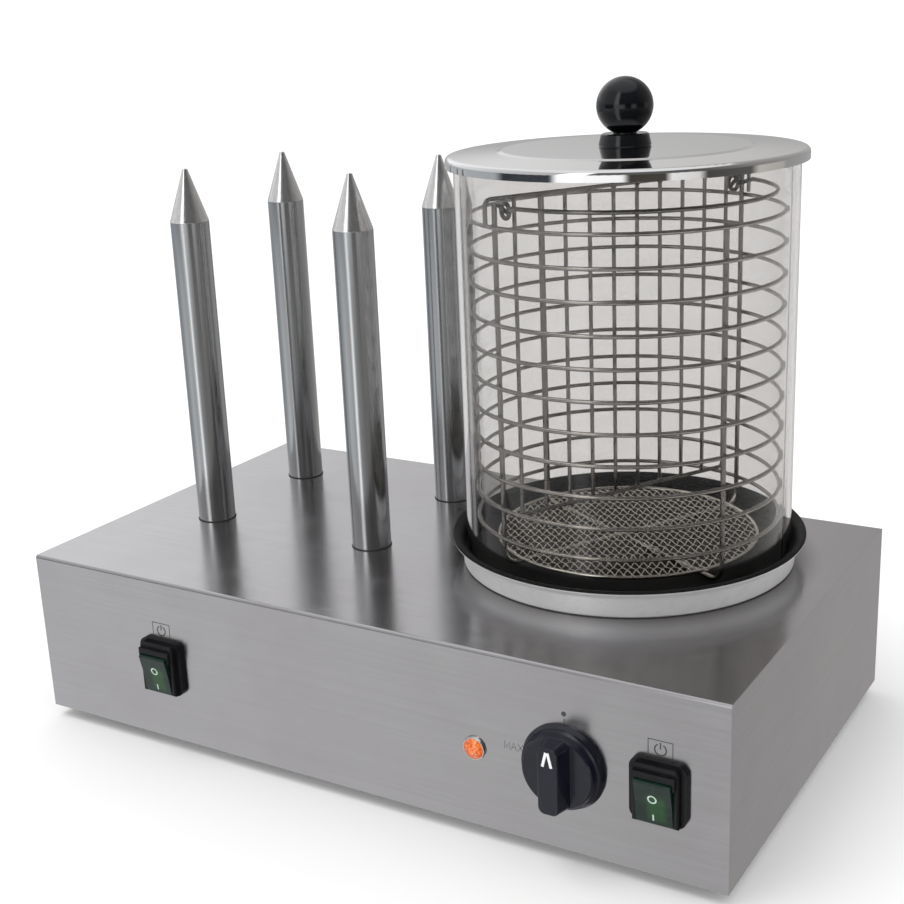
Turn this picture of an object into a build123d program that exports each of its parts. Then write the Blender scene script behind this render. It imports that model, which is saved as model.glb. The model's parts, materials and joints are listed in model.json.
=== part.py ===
from build123d import *
import os
from math import cos, radians, sin, sqrt, tan

# Counter-top hot dog warmer: a stainless steel cabinet with four heated bun spikes on the left
# and a steaming tower (pan, glass cylinder, wire basket, lid) on the right.
# Millimetres. Origin under the middle of the cabinet on the plane the feet stand on,
# +X to the right, +Y to the rear, +Z up.

# ---- cabinet ----
BODY_W = 478.0
BODY_D = 274.0
BODY_H = 108.0
FOOT_H = 8.0
SHEET = 1.0
BEND_R = 2.0
FLANGE = 12.0
HALF_W = BODY_W / 2
FRONT_Y = -BODY_D / 2
REAR_Y = BODY_D / 2
SKIRT_Z = FOOT_H
DECK_Z = FOOT_H + BODY_H
FOOT_R = 11.0
FOOT_X = 195.0
FOOT_Y = 95.0
SCREW_R = 2.0
THREAD_GAP = 0.05
SCREW_INSET = 6.5
BASE_SCREW_Y = (-100.0, 0.0, 100.0)

# ---- bun spikes ----
SPIKE_X = {"left": -177.0, "right": -47.5}
SPIKE_Y = {"front": -26.5, "rear": 77.0}
SPIKE_R = 12.65
SPIKE_BORE = 9.5
SPIKE_NECK_R = 11.0
SPIKE_NECK = 14.0
SPIKE_TOP = 239.4
CONE_H = 34.4
CONE_POINT_R = 2.2
SEAL_H = 0.5
SEAL_LIP = 0.4
HEATER_TOP = 170.0

# ---- steaming tower ----
TOWER_X = 108.0
TOWER_Y = 30.0
PLATE_RISE = 6.5
PLATE_R = 96.0
PLATE_NECK_R = 87.8
ELEMENT_R = 60.0
ELEMENT_WIRE = 4.25
STUD_R = 3.0
PLATE_BOSS = 8.0
CLAMP_HALF = 96.0
CLAMP_HALF_W = 12.0
CLAMP_T = 2.0
PAN_R = 102.6
PAN_RIM_R = 109.2
PAN_RIM_H = 18.3
PAN_BEAD = 1.3
PAN_FLOOR = 8.5
GLASS_R = 100.0
GLASS_WALL = 2.4
GLASS_H = 240.0

# ---- basket, in its own turned frame: +X along the divider ----
BASKET_TURN = 61.0
RING_R = 92.0
RING_WIRE = 1.25
RING_COUNT = 11
RING_TOP = 214.6
RING_PITCH = 18.35
POST_WIRE = 1.5
POST_BEND = 9.0
MAIN_POST_TOP = 228.0
CROSS_POST_TOP = 216.5
MESH_R = 80.0
MESH_T = 1.2
MESH_RIM_WIRE = 1.1
MESH_Z = PAN_FLOOR + 4 * POST_WIRE + MESH_RIM_WIRE + 0.1
HANDLE_Z = 222.5
HANDLE_RISE = 3.0
HANDLE_R = 87.0
HANDLE_START_Y = -14.0
EYE_R = 4.2
EYE_INSET = 5.5
PIN_LENGTH = 10.0
PIN_SLOPE = 40.0
DIVIDER_TOP = 230.0
DIVIDER_BOTTOM = 42.0
DIVIDER_BARS = 10
DIVIDER_PITCH = 17.0
TOP_WIRE = 1.6
HOOK_X = 95.0
HOOK_END = 216.0

# ---- lid ----
LID_R = 104.7
LID_T = 1.0
LID_LIP = 6.4
LID_EDGE = 3.0
LID_STEP_R = 73.0
LID_FIELD = 2.0
LID_SLOPE = 1.2
COLLAR_R = 15.25
COLLAR_TOP_R = 13.5
COLLAR_H = 7.3
BALL_R = 16.4
BALL_Z = 274.2
BALL_NECK_R = 6.8

# ---- controls on the front panel ----
CONTROL_Z = SKIRT_Z + 51.0
SWITCH_X = {"left": -135.0, "right": 201.0}
BEZEL_W = 32.0
BEZEL_H = 36.5
BEZEL_T = 3.0
BEZEL_CORNER = 6.0
HOOD_W = 26.0
HOOD_T = 7.0
LEDGE_T = 9.5
HOOD_TOP = 16.6
LEDGE_H = 3.2
WELL_DEPTH = 2.0
SWITCH_BODY_W = 27.0
SWITCH_BODY_H = 33.0
SWITCH_DEPTH = 18.0
BLADE_W = 6.3
BLADE_T = 0.8
BLADE_L = 10.0
ROCKER_R = 13.2
ROCKER_W = 20.4
ROCKER_Y = -3.2
ROCKER_PIVOT = 6.5
ROCKER_TILT = 10.0
ROCKER_FACE = 2.2
ROCKER_DISH = 0.6
ROCKER_SKIRT = 5.0
ROCKER_GAP = 0.3
LAMP_X = 91.0
LAMP_Z = CONTROL_Z - 2.5
LAMP_R = 7.1
LENS_R = 6.1
LAMP_BUSH_R = 6.6
KNOB_X = 146.0
RING_FLANGE_R = 24.8
RING_FLANGE_T = 3.0
KNOB_GAP = 0.3
KNOB_R = 23.2
KNOB_FACE_R = 21.0
KNOB_BAR_W = 17.0
KNOB_BAR_L = 41.0
KNOB_FACE = 9.5
KNOB_REACH = 19.6
POINTER_T = 0.4
SHAFT_R = 3.0
THERMO_W = 44.0
THERMO_H = 36.0
THERMO_D = 27.0
THERMO_SCREW_X = 14.0
BULB_R = 3.0
BULB_HALF = 35.0
BULB_Y = TOWER_Y - 30.0
BULB_Z = DECK_Z - PLATE_BOSS - BULB_R - THREAD_GAP
CAPILLARY_R = 0.9

# ---- cable gland on the rear panel ----
GLAND_X = 170.0
GLAND_Z = SKIRT_Z + 28.0
GLAND_BORE = 4.0
GLAND_REACH = KNOB_REACH + POINTER_T
GLAND_THREAD_R = 8.0
GLAND_SPIGOT_R = 7.0
GLAND_FLATS = 22.0

# ---- terminal block on the base ----
BLOCK_X = 35.0
BLOCK_Y = 82.0
BLOCK_PITCH = 12.0
BLOCK_WAYS = 5
BLOCK_D = 18.0
BLOCK_H = 20.0


def cylinder_z(x, y, low, high, radius):
    return Pos(x, y, (low + high) / 2) * Cylinder(radius, high - low)


def box_between(low, high):
    size = [b - a for a, b in zip(low, high)]
    middle = [(a + b) / 2 for a, b in zip(low, high)]
    return Pos(*middle) * Box(*size)


def hex_prism_z(x, y, low, high, across_flats):
    sketch = RegularPolygon(across_flats / 2, 6, major_radius=False)
    return Pos(x, y, low) * extrude(sketch, high - low)


def on_panel(x, z):
    """Local frame on the front panel: +X right, +Y up, +Z out of the panel."""
    return Pos(x, FRONT_Y, z) * Rot(90, 0, 0)


def tower(z=0.0):
    """Local frame of the tower: origin on the deck, on the tower's axis."""
    return Pos(TOWER_X, TOWER_Y, DECK_Z + z)


def basket(z=0.0):
    return tower(z) * Rot(0, 0, BASKET_TURN)


def spin(points):
    """A closed outline of (radius, height) points turned about the vertical axis."""
    outline = Plane.XZ * Polyline(*points, close=True)
    return revolve(make_face(outline), Axis.Z)


def rod(start, end, radius):
    path = Line(start, end)
    section = Plane(origin=start, z_dir=path % 0) * Circle(radius)
    return extrude(section, (Vector(*end) - Vector(*start)).length)


def bent_wire(points, bend, radius):
    path = FilletPolyline(*points, radius=bend)
    section = Plane(origin=points[0], z_dir=path % 0) * Circle(radius)
    return sweep(section, path=path)


# ---------------- cabinet ----------------

def deck_shell():
    """Front, deck and rear folded from one sheet, with its cut-outs."""
    outer = box_between((-HALF_W, FRONT_Y, SKIRT_Z), (HALF_W, REAR_Y, DECK_Z))
    inner = box_between(
        (-HALF_W, FRONT_Y + SHEET, SKIRT_Z - 1), (HALF_W, REAR_Y - SHEET, DECK_Z - SHEET))
    outer = fillet(outer.edges().filter_by(Axis.X).group_by(Axis.Z)[-1], BEND_R)
    inner = fillet(inner.edges().filter_by(Axis.X).group_by(Axis.Z)[-1], BEND_R - SHEET)
    shell = outer - inner
    for x in SPIKE_X.values():
        for y in SPIKE_Y.values():
            shell -= cylinder_z(x, y, DECK_Z - 5, DECK_Z + 5, SPIKE_NECK_R + 0.2)
    shell -= cylinder_z(TOWER_X, TOWER_Y, DECK_Z - 5, DECK_Z + 5, PLATE_NECK_R + 0.2)
    for x in SWITCH_X.values():
        shell -= on_panel(x, CONTROL_Z) * Box(SWITCH_BODY_W + 0.2, SWITCH_BODY_H + 0.2, 10)
    shell -= on_panel(LAMP_X, LAMP_Z) * Cylinder(LAMP_BUSH_R + 0.1, 10)
    shell -= on_panel(KNOB_X, CONTROL_Z) * Cylinder(5.0, 10)
    for side in (-1, 1):
        shell -= on_panel(KNOB_X + side * THERMO_SCREW_X, CONTROL_Z) * Cylinder(SCREW_R + 0.1, 10)
    shell -= Pos(GLAND_X, REAR_Y, GLAND_Z) * Rot(90, 0, 0) * Cylinder(GLAND_THREAD_R + 0.1, 10)
    return shell


def side_panel(side):
    """End panel set into the folded shell, with flanges turned inwards all round."""
    inside = HALF_W - FLANGE
    y = REAR_Y - SHEET
    panel = box_between((inside, -y, SKIRT_Z + SHEET), (HALF_W, y, DECK_Z - SHEET))
    panel -= box_between(
        (inside - 1, SHEET - y, SKIRT_Z + 2 * SHEET), (HALF_W - SHEET, y - SHEET, DECK_Z - 2 * SHEET))
    corners = panel.edges().filter_by(Axis.X).group_by(Axis.Z)[-1]
    panel = fillet(corners.sort_by(Axis.Y)[0], 1.2)
    panel = fillet(panel.edges().filter_by(Axis.X).group_by(Axis.Z)[-1].sort_by(Axis.Y)[-1], 1.2)
    panel += box_between((HALF_W - SHEET, -y, SKIRT_Z), (HALF_W, y, SKIRT_Z + SHEET))
    for screw_y in BASE_SCREW_Y:
        panel -= cylinder_z(HALF_W - SCREW_INSET, screw_y, 0, SKIRT_Z + 5, SCREW_R + THREAD_GAP)
    if side == "left":
        panel = mirror(panel, about=Plane.YZ)
    return panel


def base_plate():
    x = HALF_W - SHEET
    y = REAR_Y - SHEET
    plate = box_between((-x, -y, SKIRT_Z), (x, y, SKIRT_Z + SHEET))
    for turned in (-1, 1):
        edge = turned * y
        flange = sorted((edge, edge - turned * SHEET))
        plate += box_between(
            (-x + FLANGE, flange[0], SKIRT_Z), (x - FLANGE, flange[1], SKIRT_Z + FLANGE))
    for sx in (-1, 1):
        for screw_y in BASE_SCREW_Y:
            plate -= cylinder_z(sx * (HALF_W - SCREW_INSET), screw_y, 0, 20, SCREW_R + THREAD_GAP)
        for sy in (-1, 1):
            plate -= cylinder_z(sx * FOOT_X, sy * FOOT_Y, 0, 20, SCREW_R + THREAD_GAP)
    return plate


def rubber_foot(x, y):
    foot = Pos(x, y, 0) * spin([(0, 0), (FOOT_R - 1.5, 0), (FOOT_R, 2), (FOOT_R - 2, FOOT_H), (0, FOOT_H)])
    foot -= cylinder_z(x, y, -1, 5, 4.5)
    foot -= cylinder_z(x, y, 4, FOOT_H + 1, SCREW_R + 0.2)
    return foot


def screw_up(x, y, seat, length, head_r, head_h):
    """Screw with its head below the seat and its shank pointing up."""
    shank = cylinder_z(x, y, seat, seat + length, SCREW_R)
    head = cylinder_z(x, y, seat - head_h, seat, head_r)
    slot = box_between((x - head_r, y - 0.4, seat - head_h - 1), (x + head_r, y + 0.4, seat - head_h + 0.8))
    return shank + head - slot


def foot_places():
    return [(sx * FOOT_X, sy * FOOT_Y) for sx in (-1, 1) for sy in (-1, 1)]


def base_screws():
    x = HALF_W - SCREW_INSET
    return [screw_up(sx * x, y, SKIRT_Z, 7, 3.8, 2.4) for sx in (-1, 1) for y in BASE_SCREW_Y]


# ---------------- bun spikes ----------------

def spike_tube(x, y):
    foot = DECK_Z + SEAL_H
    joint = DECK_Z + SPIKE_TOP - CONE_H
    tube = cylinder_z(x, y, foot, joint, SPIKE_R)
    tube += cylinder_z(x, y, DECK_Z - SPIKE_NECK, foot, SPIKE_NECK_R)
    tube -= cylinder_z(x, y, DECK_Z - 50, joint + 10, SPIKE_BORE)
    return tube


def spike_tip(x, y):
    joint = DECK_Z + SPIKE_TOP - CONE_H
    cap = CONE_H - CONE_POINT_R
    cone = spin([
        (0, -12), (SPIKE_BORE - 0.05, -12), (SPIKE_BORE - 0.05, 0), (SPIKE_R - 0.15, 0), (SPIKE_R, 0.3),
        (CONE_POINT_R, cap), (0.8 * CONE_POINT_R, cap + 0.7 * CONE_POINT_R), (0, CONE_H)])
    return Pos(x, y, joint) * cone


def spike_heater(x, y):
    heater = cylinder_z(x, y, DECK_Z - 10, DECK_Z + HEATER_TOP, SPIKE_BORE - 0.1)
    heater += cylinder_z(x, y, DECK_Z - 16, DECK_Z - 10, 6)
    return heater


def spike_seal(x, y):
    ring = cylinder_z(x, y, DECK_Z, DECK_Z + SEAL_H, SPIKE_R + SEAL_LIP)
    return ring - cylinder_z(x, y, DECK_Z - 1, DECK_Z + 2, SPIKE_NECK_R + 0.1)


def spike_nut(x, y):
    nut = hex_prism_z(x, y, DECK_Z - SHEET - 6, DECK_Z - SHEET, 32)
    return nut - cylinder_z(x, y, DECK_Z - 20, DECK_Z, SPIKE_NECK_R + THREAD_GAP)


# ---------------- heating under the tower ----------------

def hot_plate():
    """Cast plate that lies on the deck and fills the pan's recess, with a stud below."""
    plate = spin([
        (0, -PLATE_BOSS), (PLATE_NECK_R, -PLATE_BOSS), (PLATE_NECK_R, 0), (PLATE_R, 0),
        (PLATE_R, PLATE_RISE - 1), (PLATE_R - 1, PLATE_RISE), (0, PLATE_RISE)])
    plate += Pos(0, 0, -18) * Cylinder(STUD_R, 20)
    return tower() * plate


def heating_element():
    """Tubular element bent to an open ring, with its two ends turned down."""
    height = -PLATE_BOSS - ELEMENT_WIRE - THREAD_GAP
    coil = Pos(0, 0, height) * Torus(ELEMENT_R, ELEMENT_WIRE, major_angle=320)
    for angle in (5, 315):
        x = ELEMENT_R * cos(radians(angle))
        y = ELEMENT_R * sin(radians(angle))
        coil += cylinder_z(x, y, height - 18, height, 3.2)
    return tower() * Rot(0, 0, -70) * coil


def clamp_bar():
    """Hat-shaped strap that pulls the plate down on the deck and holds the element up."""
    low = -PLATE_BOSS - 2 * ELEMENT_WIRE - 2 * THREAD_GAP
    inside = CLAMP_HALF - CLAMP_T
    half = CLAMP_HALF_W
    strap = box_between((-CLAMP_HALF, -half, low - CLAMP_T), (CLAMP_HALF, half, low))
    for side in (-1, 1):
        post = sorted((side * inside, side * CLAMP_HALF))
        foot = sorted((side * inside, side * (CLAMP_HALF + half)))
        strap += box_between((post[0], -half, low), (post[1], half, -SHEET))
        strap += box_between((foot[0], -half, -SHEET - CLAMP_T), (foot[1], half, -SHEET))
    strap -= Pos(0, 0, low - 1) * Cylinder(STUD_R + 0.2, 6)
    return tower() * strap


def clamp_nut():
    high = -PLATE_BOSS - 2 * ELEMENT_WIRE - 2 * THREAD_GAP - CLAMP_T
    nut = hex_prism_z(0, 0, high - 5, high, 10)
    nut -= Cylinder(STUD_R + THREAD_GAP, 100)
    return tower() * nut


# ---------------- pan, glass, lid ----------------

def water_pan():
    """Shallow dish: skirt down to the deck, raised floor, flared rim with a rolled bead."""
    bead_r = PAN_RIM_R - PAN_BEAD
    bead_z = PAN_RIM_H - PAN_BEAD
    skirt_in = PAN_R - 2.0
    wall_in = GLASS_R + 0.5
    with BuildSketch(Plane.XZ) as profile:
        with BuildLine():
            Polyline((0, PLATE_RISE), (skirt_in, PLATE_RISE), (skirt_in, 0), (PAN_R - 0.8, 0),
                     (PAN_R, 0.8), (PAN_R + 0.6, 11))
            ThreePointArc((PAN_R + 0.6, 11), (PAN_R + 1.8, 14), (bead_r, bead_z - PAN_BEAD))
            ThreePointArc((bead_r, bead_z - PAN_BEAD), (PAN_RIM_R, bead_z), (bead_r, bead_z + PAN_BEAD))
            ThreePointArc((bead_r, bead_z + PAN_BEAD), (wall_in + 2.1, 15.2), (wall_in + 0.6, 12))
            Polyline((wall_in + 0.6, 12), (wall_in, PAN_FLOOR), (0, PAN_FLOOR), (0, PLATE_RISE))
        make_face()
    return tower() * revolve(profile.sketch, Axis.Z)


def glass_cylinder():
    tube = Pos(0, 0, PAN_FLOOR + GLASS_H / 2) * (
        Cylinder(GLASS_R, GLASS_H) - Cylinder(GLASS_R - GLASS_WALL, GLASS_H + 2))
    tube = fillet(tube.edges().filter_by(GeomType.CIRCLE), 0.7)
    return tower() * tube


def lid_plate():
    """Pressed lid: turned-down lip with a round edge, sloping rim and a raised flat field."""
    seat = PAN_FLOOR + GLASS_H
    top = seat + LID_T
    low = top - LID_LIP
    bore = STUD_R + 0.2
    inner = LID_R - LID_T
    turn = LID_EDGE * (1 - sqrt(0.5))
    with BuildSketch(Plane.XZ) as profile:
        with BuildLine():
            Polyline((bore, top + LID_FIELD), (LID_STEP_R - 1.5, top + LID_FIELD),
                     (LID_STEP_R + 1.5, top + LID_SLOPE), (LID_R - LID_EDGE, top))
            ThreePointArc((LID_R - LID_EDGE, top), (LID_R - turn, top - turn), (LID_R, top - LID_EDGE))
            Polyline((LID_R, top - LID_EDGE), (LID_R, low), (inner, low), (inner, seat - LID_EDGE + 0.6),
                     (GLASS_R + 1.2, seat), (GLASS_R - 4, seat), (LID_STEP_R + 1.2, seat + LID_SLOPE),
                     (LID_STEP_R - 1.8, seat + LID_FIELD), (bore, seat + LID_FIELD), (bore, top + LID_FIELD))
        make_face()
    return tower() * revolve(profile.sketch, Axis.Z)


def lid_collar():
    low = PAN_FLOOR + GLASS_H + LID_T + LID_FIELD
    collar = spin([
        (STUD_R + 0.2, low), (COLLAR_R - 0.4, low), (COLLAR_R, low + 0.8),
        (COLLAR_TOP_R + 0.4, low + COLLAR_H - 0.6), (COLLAR_TOP_R - 0.6, low + COLLAR_H),
        (STUD_R + 0.2, low + COLLAR_H)])
    return tower() * collar


def lid_ball():
    """Ball grip with a short neck and a fine moulding line round its middle."""
    low = PAN_FLOOR + GLASS_H + LID_T + LID_FIELD + COLLAR_H
    ball = Pos(0, 0, BALL_Z) * Sphere(BALL_R)
    ball -= box_between((-30, -30, 0), (30, 30, low))
    ball += cylinder_z(0, 0, low, BALL_Z - 8, BALL_NECK_R)
    ball += cylinder_z(0, 0, BALL_Z - 0.7, BALL_Z - 0.3, BALL_R + 0.1)
    ball -= cylinder_z(0, 0, low - 1, BALL_Z - 2, STUD_R + THREAD_GAP)
    return tower() * ball


def lid_screw():
    seat = PAN_FLOOR + GLASS_H + LID_FIELD
    screw = cylinder_z(0, 0, seat - 2.6, seat, 6)
    screw += cylinder_z(0, 0, seat, BALL_Z - 3, STUD_R)
    screw -= box_between((-7, -0.6, seat - 4), (7, 0.6, seat - 1.6))
    return tower() * screw


# ---------------- basket and divider ----------------

def basket_rings():
    heights = [RING_TOP - RING_PITCH * n for n in range(RING_COUNT)]
    return [basket(z) * Torus(RING_R, RING_WIRE) for z in heights]


def upright(low, top, turn):
    """U-shaped wire: two posts inside the rings, joined across the basket's floor."""
    x = RING_R - RING_WIRE - POST_WIRE - 0.02
    points = [(-x, 0, top), (-x, 0, low), (x, 0, low), (x, 0, top)]
    return basket() * Rot(0, 0, turn) * bent_wire(points, POST_BEND, POST_WIRE)


def basket_mesh():
    """Flat floor of wire cloth, as a thin disc; it lies on the two crossed wires."""
    return basket(MESH_Z) * Cylinder(MESH_R - MESH_RIM_WIRE - 0.02, MESH_T)


def mesh_rim():
    return basket(MESH_Z) * Torus(MESH_R, MESH_RIM_WIRE)


def eye_place():
    """Distance of the handle's eyes from the tower's axis."""
    return RING_R - RING_WIRE - 2 * POST_WIRE - EYE_INSET


def handle_pins():
    """Short pins welded inside the two taller posts; they slope down through the handle's eyes."""
    lean = radians(PIN_SLOPE)
    start = eye_place() + EYE_INSET - 0.04 - RING_WIRE * sin(lean)
    rise = (start - eye_place()) * tan(lean)
    end = start - PIN_LENGTH * cos(lean)
    drop = rise - PIN_LENGTH * sin(lean)
    pins = []
    for side in (-1, 1):
        pins.append(basket(HANDLE_Z) * rod((side * start, 0, rise), (side * end, 0, drop), RING_WIRE))
    return pins


def basket_handle():
    """Half hoop folded down inside the basket's mouth, with an eye round each pin."""
    eye_x = eye_place()
    y = HANDLE_START_Y
    start = sqrt(HANDLE_R ** 2 - y ** 2)
    rise = HANDLE_RISE
    arc = ThreePointArc((-start, y, rise), (0, -HANDLE_R, rise), (start, y, rise))
    section = Plane(origin=arc @ 0, z_dir=arc % 0) * Circle(RING_WIRE)
    hoop = sweep(section, path=arc)
    for side in (-1, 1):
        end = (side * start, y, rise)
        eye_edge = (side * eye_x, -EYE_R, 0)
        hoop += Pos(*end) * Sphere(1.15 * RING_WIRE)
        hoop += rod(end, eye_edge, RING_WIRE)
        hoop += Pos(side * eye_x, 0, 0) * Rot(0, 90, 0) * Torus(EYE_R, RING_WIRE)
    return basket(HANDLE_Z) * hoop


def divider_frame():
    """Top wire with a hook down over the rings at each end, and the wire along the foot."""
    points = [
        (-HOOK_X, 0, HOOK_END), (-HOOK_X, 0, DIVIDER_TOP), (HOOK_X, 0, DIVIDER_TOP), (HOOK_X, 0, HOOK_END)]
    top = bent_wire(points, 4, RING_WIRE)
    reach = DIVIDER_PITCH * (DIVIDER_BARS - 1) / 2 + 2
    foot = rod((-reach, 0, DIVIDER_BOTTOM), (reach, 0, DIVIDER_BOTTOM), RING_WIRE)
    return [basket() * top, basket() * foot]


def divider_bars():
    first = -DIVIDER_PITCH * (DIVIDER_BARS - 1) / 2
    low = DIVIDER_BOTTOM + RING_WIRE
    high = DIVIDER_TOP - RING_WIRE
    bars = []
    for n in range(DIVIDER_BARS):
        x = first + n * DIVIDER_PITCH
        bars.append(basket() * rod((x, 0, low), (x, 0, high), RING_WIRE - 0.05))
    return bars


# ---------------- controls ----------------

def rounded_block(width, height, low, high, corner):
    return Pos(0, 0, low) * extrude(RectangleRounded(width, height, corner), high - low)


def switch_bezel(x):
    """Switch housing: flange, hood with cheeks beside the rocker and ledges above it, snap-in body."""
    well_half = ROCKER_R + ROCKER_GAP
    well_top = ROCKER_Y + well_half
    well_low = ROCKER_Y - well_half
    half_w = HOOD_W / 2
    housing = rounded_block(BEZEL_W, BEZEL_H, 0, BEZEL_T, BEZEL_CORNER)
    cheeks = box_between((-half_w, well_low, 0), (half_w, HOOD_TOP, HOOD_T))
    cheeks = fillet(cheeks.edges().filter_by(Axis.Z).group_by(Axis.Y)[-1], BEZEL_CORNER / 2)
    ledge = box_between((-half_w + 1, well_top - 4, 0), (half_w - 1, well_top + LEDGE_H, LEDGE_T))
    housing += fillet(cheeks.edges().group_by(Axis.Z)[-1], 1.2)
    housing += fillet(ledge.edges().group_by(Axis.Z)[-1], 0.8)
    housing += box_between(
        (-SWITCH_BODY_W / 2, -SWITCH_BODY_H / 2, -SWITCH_DEPTH), (SWITCH_BODY_W / 2, SWITCH_BODY_H / 2, 0))
    well_side = ROCKER_W / 2 + ROCKER_GAP
    housing -= box_between((-well_side, well_low, -WELL_DEPTH), (well_side, well_top, LEDGE_T + 5))
    return on_panel(x, CONTROL_Z) * housing


def rocker(x):
    """Rocker with rounded ends about its pivot, tipped so that its upper end stands out."""
    reach = 2 * ROCKER_R
    rim = ROCKER_FACE + ROCKER_DISH * reach / ROCKER_R
    with BuildSketch(Plane.YZ) as side_view:
        Circle(ROCKER_R)
        with Locations((0, -ROCKER_SKIRT - ROCKER_R)):
            Rectangle(3 * ROCKER_R, 2 * ROCKER_R, mode=Mode.SUBTRACT)
        with BuildLine(mode=Mode.PRIVATE) as above:
            Polyline(
                (-reach, rim), (0, ROCKER_FACE), (reach, rim), (reach, reach), (-reach, reach), close=True)
        make_face(above.edges(), mode=Mode.SUBTRACT)
    cap = extrude(side_view.sketch, ROCKER_W / 2, both=True)
    cap = fillet(cap.edges().filter_by(Axis.X).group_by(Axis.Z)[-1], 0.9)
    return on_panel(x, CONTROL_Z) * Pos(0, ROCKER_Y, ROCKER_PIVOT) * Rot(ROCKER_TILT, 0, 0) * cap


def switch_terminals():
    middle = -SWITCH_DEPTH - BLADE_L / 2
    blades = []
    for x in SWITCH_X.values():
        for dx in (-7, 7):
            for dz in (-9, 9):
                blade = Pos(dx, dz, middle) * Box(BLADE_W, BLADE_T, BLADE_L)
                blades.append(on_panel(x, CONTROL_Z) * blade)
    return blades


def lamp_bezel():
    """Thin plated ring with its bush through the panel."""
    bore = LENS_R + THREAD_GAP
    ring = spin([
        (bore, -14), (LAMP_BUSH_R, -14), (LAMP_BUSH_R, 0), (LAMP_R, 0), (LAMP_R, 0.8), (LAMP_BUSH_R, 1.8),
        (bore, 1.8)])
    return on_panel(LAMP_X, LAMP_Z) * ring


def lamp_lens():
    """Lens that fills the ring, with a low domed front."""
    edge = 1.6
    rise = 2.4
    dome = (LENS_R ** 2 + rise ** 2) / (2 * rise)
    halfway = edge + rise - dome + sqrt(dome ** 2 - LENS_R ** 2 / 4)
    with BuildSketch(Plane.XZ) as profile:
        with BuildLine():
            Polyline((0, edge + rise), (0, -10), (LENS_R, -10), (LENS_R, edge))
            ThreePointArc((LENS_R, edge), (LENS_R / 2, halfway), (0, edge + rise))
        make_face()
    return on_panel(LAMP_X, LAMP_Z) * revolve(profile.sketch, Axis.Z)


def dial_ring():
    inner = KNOB_FACE_R - 1
    ring = spin([
        (inner, 0), (RING_FLANGE_R, 0), (RING_FLANGE_R, 0.9), (RING_FLANGE_R - 1.6, RING_FLANGE_T),
        (inner, RING_FLANGE_T)])
    return on_panel(KNOB_X, CONTROL_Z) * ring


def thermostat_knob():
    """Round stepped dial with a tapered finger bar across its face."""
    back = RING_FLANGE_T + KNOB_GAP
    dial = spin([
        (0, back), (KNOB_R, back), (KNOB_R, back + 1.6), (KNOB_FACE_R + 1.0, back + 2.2),
        (KNOB_FACE_R, KNOB_FACE - 0.8), (KNOB_FACE_R - 0.8, KNOB_FACE), (0, KNOB_FACE)])
    bar_low = Pos(0, 0, KNOB_FACE - 1) * RectangleRounded(KNOB_BAR_W, KNOB_BAR_L, 5)
    bar_high = Pos(0, 0, KNOB_REACH) * RectangleRounded(KNOB_BAR_W - 5, KNOB_BAR_L - 2, 4)
    bar = loft([bar_low, bar_high])
    bar = fillet(bar.edges().group_by(Axis.Z)[-1], 1.2)
    knob = dial + bar
    knob -= Pos(0, 0, 8) * Cylinder(SHAFT_R + THREAD_GAP, 14)
    return on_panel(KNOB_X, CONTROL_Z) * knob


def knob_pointer():
    """Arrow-head inlay near the upper end of the finger bar."""
    stroke = box_between((-0.75, -8.5, KNOB_REACH), (0.75, 0, KNOB_REACH + POINTER_T))
    strokes = Pos(0.5, 0, 0) * Rot(0, 0, 14) * stroke
    strokes += Pos(-0.5, 0, 0) * Rot(0, 0, -14) * stroke
    return on_panel(KNOB_X, CONTROL_Z) * Pos(0, KNOB_BAR_L / 2 - 3, 0) * strokes


def thermostat_shaft():
    return on_panel(KNOB_X, CONTROL_Z) * Pos(0, 0, 1) * Cylinder(SHAFT_R, 26)


def thermostat_body():
    case = Pos(0, 0, -SHEET - THERMO_D / 2) * Box(THERMO_W, THERMO_H, THERMO_D)
    case = fillet(case.edges().filter_by(Axis.Z), 3)
    case += Pos(0, 0, 0.25) * Cylinder(4.8, 2.5)
    case -= Pos(0, 0, -5) * Cylinder(SHAFT_R + 0.05, 20)
    for side in (-1, 1):
        case -= Pos(side * THERMO_SCREW_X, 0, -5) * Cylinder(SCREW_R + THREAD_GAP, 10)
    return on_panel(KNOB_X, CONTROL_Z) * case


def thermostat_screws():
    screws = []
    for side in (-1, 1):
        place = side * THERMO_SCREW_X
        screw = cylinder_z(place, 0, 0, 2.2, 3.6) + cylinder_z(place, 0, -9, 0, SCREW_R)
        screws.append(on_panel(KNOB_X, CONTROL_Z) * screw)
    return screws


def thermostat_bulb():
    return rod((TOWER_X - BULB_HALF, BULB_Y, BULB_Z), (TOWER_X + BULB_HALF, BULB_Y, BULB_Z), BULB_R)


def capillary_tube():
    turn_x = TOWER_X + BULB_HALF + 8
    below = DECK_Z - 28
    well_y = FRONT_Y + SHEET + THERMO_D / 2
    points = [
        (TOWER_X + BULB_HALF, BULB_Y, BULB_Z), (turn_x, BULB_Y, BULB_Z), (turn_x, BULB_Y, below),
        (turn_x, well_y, below), (turn_x, well_y, CONTROL_Z + THERMO_H / 2)]
    return bent_wire(points, 5, CAPILLARY_R)


def terminal_block():
    """Screw terminal block on the base, with a screw well for each way and slots between them."""
    floor = SKIRT_Z + SHEET
    top = floor + BLOCK_H
    rear = BLOCK_Y + BLOCK_D
    block = box_between((BLOCK_X, BLOCK_Y, floor), (BLOCK_X + BLOCK_WAYS * BLOCK_PITCH, rear, top))
    for n in range(BLOCK_WAYS):
        x = BLOCK_X + (n + 0.5) * BLOCK_PITCH
        block -= cylinder_z(x, BLOCK_Y + BLOCK_D / 2, top - 9, top + 1, 3)
    for n in range(1, BLOCK_WAYS):
        x = BLOCK_X + n * BLOCK_PITCH
        block -= box_between((x - 0.6, BLOCK_Y - 1, top - 11), (x + 0.6, rear + 1, top + 1))
    return block


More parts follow.
